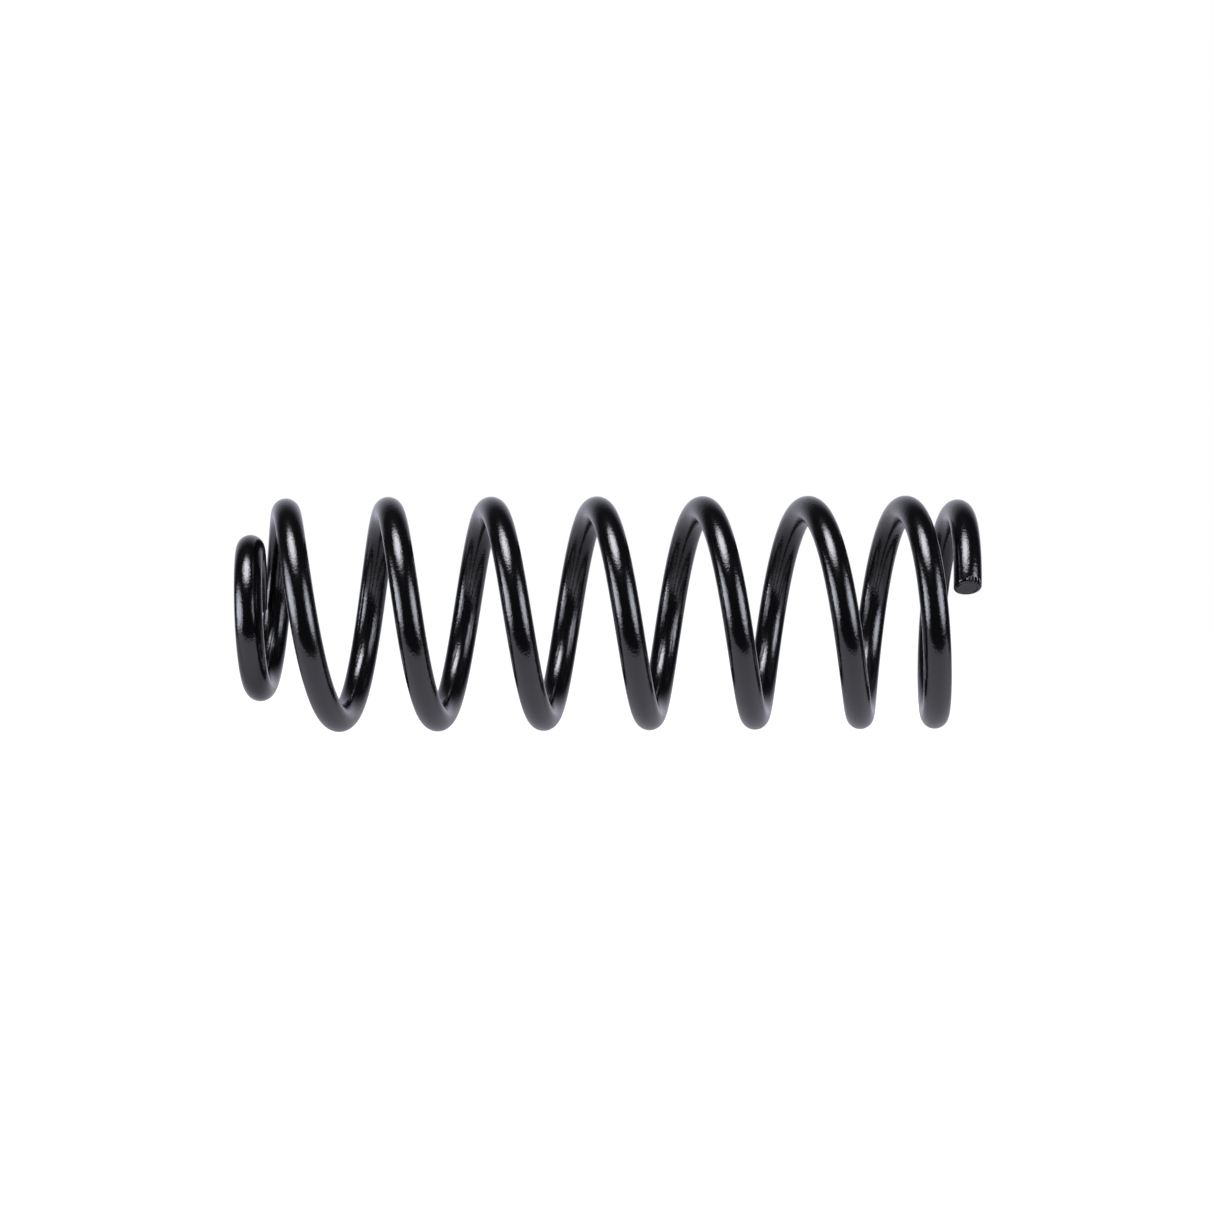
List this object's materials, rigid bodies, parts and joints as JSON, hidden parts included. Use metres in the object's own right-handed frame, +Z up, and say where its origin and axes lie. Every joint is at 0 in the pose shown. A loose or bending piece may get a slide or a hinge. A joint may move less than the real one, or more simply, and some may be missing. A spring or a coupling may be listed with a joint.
{
  "type": "suspension coil spring",
  "caption": "Automotive compression coil spring: one round steel bar wound right-handed, black powder coated, with a narrow pigtail end and an open tangential end.",
  "frame": {"origin": "on the coil's axis, in the plane that the pigtail end's lowest turn rests on", "axes": "+X along the coil's axis from the pigtail end to the open end, +Z up with the spring lying on its side, +Y completes the right-handed set"},
  "size_m": [0.3233, 0.1026, 0.1026],
  "materials": {
    "powder_coat": "gloss black powder coat, fine orange peel"
  },
  "bodies": {
    "pigtail_end": {"pigtail_arc_01": "powder_coat", "pigtail_arc_02": "powder_coat", "pigtail_arc_03": "powder_coat", "pigtail_arc_04": "powder_coat", "pigtail_arc_05": "powder_coat", "pigtail_arc_06": "powder_coat", "pigtail_arc_07": "powder_coat", "pigtail_arc_08": "powder_coat", "pigtail_arc_09": "powder_coat", "pigtail_arc_10": "powder_coat", "pigtail_arc_11": "powder_coat"},
    "lead_in": {"lead_in_arc": "powder_coat"},
    "turn_2_quarter_3": {"turn_2_quarter_3": "powder_coat"},
    "turn_2_quarter_4": {"turn_2_quarter_4": "powder_coat"},
    "turn_3_quarter_1": {"turn_3_quarter_1": "powder_coat"},
    "turn_3_quarter_2": {"turn_3_quarter_2": "powder_coat"},
    "turn_3_quarter_3": {"turn_3_quarter_3": "powder_coat"},
    "turn_3_quarter_4": {"turn_3_quarter_4": "powder_coat"},
    "turn_4_quarter_1": {"turn_4_quarter_1": "powder_coat"},
    "turn_4_quarter_2": {"turn_4_quarter_2": "powder_coat"},
    "turn_4_quarter_3": {"turn_4_quarter_3": "powder_coat"},
    "turn_4_quarter_4": {"turn_4_quarter_4": "powder_coat"},
    "turn_5_quarter_1": {"turn_5_quarter_1": "powder_coat"},
    "turn_5_quarter_2": {"turn_5_quarter_2": "powder_coat"},
    "turn_5_quarter_3": {"turn_5_quarter_3": "powder_coat"},
    "turn_5_quarter_4": {"turn_5_quarter_4": "powder_coat"},
    "turn_6_quarter_1": {"turn_6_quarter_1": "powder_coat"},
    "turn_6_quarter_2": {"turn_6_quarter_2": "powder_coat"},
    "turn_6_quarter_3": {"turn_6_quarter_3": "powder_coat"},
    "turn_6_quarter_4": {"turn_6_quarter_4": "powder_coat"},
    "turn_7_quarter_1": {"turn_7_quarter_1": "powder_coat"},
    "turn_7_quarter_2": {"turn_7_quarter_2": "powder_coat"},
    "turn_7_quarter_3": {"turn_7_quarter_3": "powder_coat"},
    "turn_7_quarter_4": {"turn_7_quarter_4": "powder_coat"},
    "turn_8_quarter_1": {"turn_8_quarter_1": "powder_coat"},
    "open_end": {"open_end_arc_1": "powder_coat", "open_end_arc_2": "powder_coat", "open_end_arc_3": "powder_coat", "open_end_arc_4": "powder_coat", "open_end_arc_5": "powder_coat"}
  },
  "joints": [
    {"name": "compression", "type": "slide", "parent": "pigtail_end", "child": "open_end", "axis": [-1, 0, 0], "range_m": [0, 0.144], "stiffness_N_per_m": 44700},
    {"name": "turn_8_quarter_1_closes", "type": "slide", "parent": "open_end", "child": "turn_8_quarter_1", "axis": [1, 0, 0], "range_m": [0, 0.006]},
    {"name": "turn_7_quarter_4_closes", "type": "slide", "parent": "turn_8_quarter_1", "child": "turn_7_quarter_4", "axis": [1, 0, 0], "range_m": [0, 0.006]},
    {"name": "turn_7_quarter_3_closes", "type": "slide", "parent": "turn_7_quarter_4", "child": "turn_7_quarter_3", "axis": [1, 0, 0], "range_m": [0, 0.006]},
    {"name": "turn_7_quarter_2_closes", "type": "slide", "parent": "turn_7_quarter_3", "child": "turn_7_quarter_2", "axis": [1, 0, 0], "range_m": [0, 0.006]},
    {"name": "turn_7_quarter_1_closes", "type": "slide", "parent": "turn_7_quarter_2", "child": "turn_7_quarter_1", "axis": [1, 0, 0], "range_m": [0, 0.006]},
    {"name": "turn_6_quarter_4_closes", "type": "slide", "parent": "turn_7_quarter_1", "child": "turn_6_quarter_4", "axis": [1, 0, 0], "range_m": [0, 0.006]},
    {"name": "turn_6_quarter_3_closes", "type": "slide", "parent": "turn_6_quarter_4", "child": "turn_6_quarter_3", "axis": [1, 0, 0], "range_m": [0, 0.006]},
    {"name": "turn_6_quarter_2_closes", "type": "slide", "parent": "turn_6_quarter_3", "child": "turn_6_quarter_2", "axis": [1, 0, 0], "range_m": [0, 0.006]},
    {"name": "turn_6_quarter_1_closes", "type": "slide", "parent": "turn_6_quarter_2", "child": "turn_6_quarter_1", "axis": [1, 0, 0], "range_m": [0, 0.006]},
    {"name": "turn_5_quarter_4_closes", "type": "slide", "parent": "turn_6_quarter_1", "child": "turn_5_quarter_4", "axis": [1, 0, 0], "range_m": [0, 0.006]},
    {"name": "turn_5_quarter_3_closes", "type": "slide", "parent": "turn_5_quarter_4", "child": "turn_5_quarter_3", "axis": [1, 0, 0], "range_m": [0, 0.006]},
    {"name": "turn_5_quarter_2_closes", "type": "slide", "parent": "turn_5_quarter_3", "child": "turn_5_quarter_2", "axis": [1, 0, 0], "range_m": [0, 0.006]},
    {"name": "turn_5_quarter_1_closes", "type": "slide", "parent": "turn_5_quarter_2", "child": "turn_5_quarter_1", "axis": [1, 0, 0], "range_m": [0, 0.006]},
    {"name": "turn_4_quarter_4_closes", "type": "slide", "parent": "turn_5_quarter_1", "child": "turn_4_quarter_4", "axis": [1, 0, 0], "range_m": [0, 0.006]},
    {"name": "turn_4_quarter_3_closes", "type": "slide", "parent": "turn_4_quarter_4", "child": "turn_4_quarter_3", "axis": [1, 0, 0], "range_m": [0, 0.006]},
    {"name": "turn_4_quarter_2_closes", "type": "slide", "parent": "turn_4_quarter_3", "child": "turn_4_quarter_2", "axis": [1, 0, 0], "range_m": [0, 0.006]},
    {"name": "turn_4_quarter_1_closes", "type": "slide", "parent": "turn_4_quarter_2", "child": "turn_4_quarter_1", "axis": [1, 0, 0], "range_m": [0, 0.006]},
    {"name": "turn_3_quarter_4_closes", "type": "slide", "parent": "turn_4_quarter_1", "child": "turn_3_quarter_4", "axis": [1, 0, 0], "range_m": [0, 0.006]},
    {"name": "turn_3_quarter_3_closes", "type": "slide", "parent": "turn_3_quarter_4", "child": "turn_3_quarter_3", "axis": [1, 0, 0], "range_m": [0, 0.006]},
    {"name": "turn_3_quarter_2_closes", "type": "slide", "parent": "turn_3_quarter_3", "child": "turn_3_quarter_2", "axis": [1, 0, 0], "range_m": [0, 0.006]},
    {"name": "turn_3_quarter_1_closes", "type": "slide", "parent": "turn_3_quarter_2", "child": "turn_3_quarter_1", "axis": [1, 0, 0], "range_m": [0, 0.006]},
    {"name": "turn_2_quarter_4_closes", "type": "slide", "parent": "turn_3_quarter_1", "child": "turn_2_quarter_4", "axis": [1, 0, 0], "range_m": [0, 0.006]},
    {"name": "turn_2_quarter_3_closes", "type": "slide", "parent": "turn_2_quarter_4", "child": "turn_2_quarter_3", "axis": [1, 0, 0], "range_m": [0, 0.006]},
    {"name": "lead_in_closes", "type": "slide", "parent": "turn_2_quarter_3", "child": "lead_in", "axis": [1, 0, 0], "range_m": [0, 0.006]}
  ],
  "couplings": [
    {"joint": "turn_8_quarter_1_closes", "follows": "compression", "ratio": 0.041667},
    {"joint": "turn_7_quarter_4_closes", "follows": "compression", "ratio": 0.041667},
    {"joint": "turn_7_quarter_3_closes", "follows": "compression", "ratio": 0.041667},
    {"joint": "turn_7_quarter_2_closes", "follows": "compression", "ratio": 0.041667},
    {"joint": "turn_7_quarter_1_closes", "follows": "compression", "ratio": 0.041667},
    {"joint": "turn_6_quarter_4_closes", "follows": "compression", "ratio": 0.041667},
    {"joint": "turn_6_quarter_3_closes", "follows": "compression", "ratio": 0.041667},
    {"joint": "turn_6_quarter_2_closes", "follows": "compression", "ratio": 0.041667},
    {"joint": "turn_6_quarter_1_closes", "follows": "compression", "ratio": 0.041667},
    {"joint": "turn_5_quarter_4_closes", "follows": "compression", "ratio": 0.041667},
    {"joint": "turn_5_quarter_3_closes", "follows": "compression", "ratio": 0.041667},
    {"joint": "turn_5_quarter_2_closes", "follows": "compression", "ratio": 0.041667},
    {"joint": "turn_5_quarter_1_closes", "follows": "compression", "ratio": 0.041667},
    {"joint": "turn_4_quarter_4_closes", "follows": "compression", "ratio": 0.041667},
    {"joint": "turn_4_quarter_3_closes", "follows": "compression", "ratio": 0.041667},
    {"joint": "turn_4_quarter_2_closes", "follows": "compression", "ratio": 0.041667},
    {"joint": "turn_4_quarter_1_closes", "follows": "compression", "ratio": 0.041667},
    {"joint": "turn_3_quarter_4_closes", "follows": "compression", "ratio": 0.041667},
    {"joint": "turn_3_quarter_3_closes", "follows": "compression", "ratio": 0.041667},
    {"joint": "turn_3_quarter_2_closes", "follows": "compression", "ratio": 0.041667},
    {"joint": "turn_3_quarter_1_closes", "follows": "compression", "ratio": 0.041667},
    {"joint": "turn_2_quarter_4_closes", "follows": "compression", "ratio": 0.041667},
    {"joint": "turn_2_quarter_3_closes", "follows": "compression", "ratio": 0.041667},
    {"joint": "lead_in_closes", "follows": "compression", "ratio": 0.041667}
  ]
}
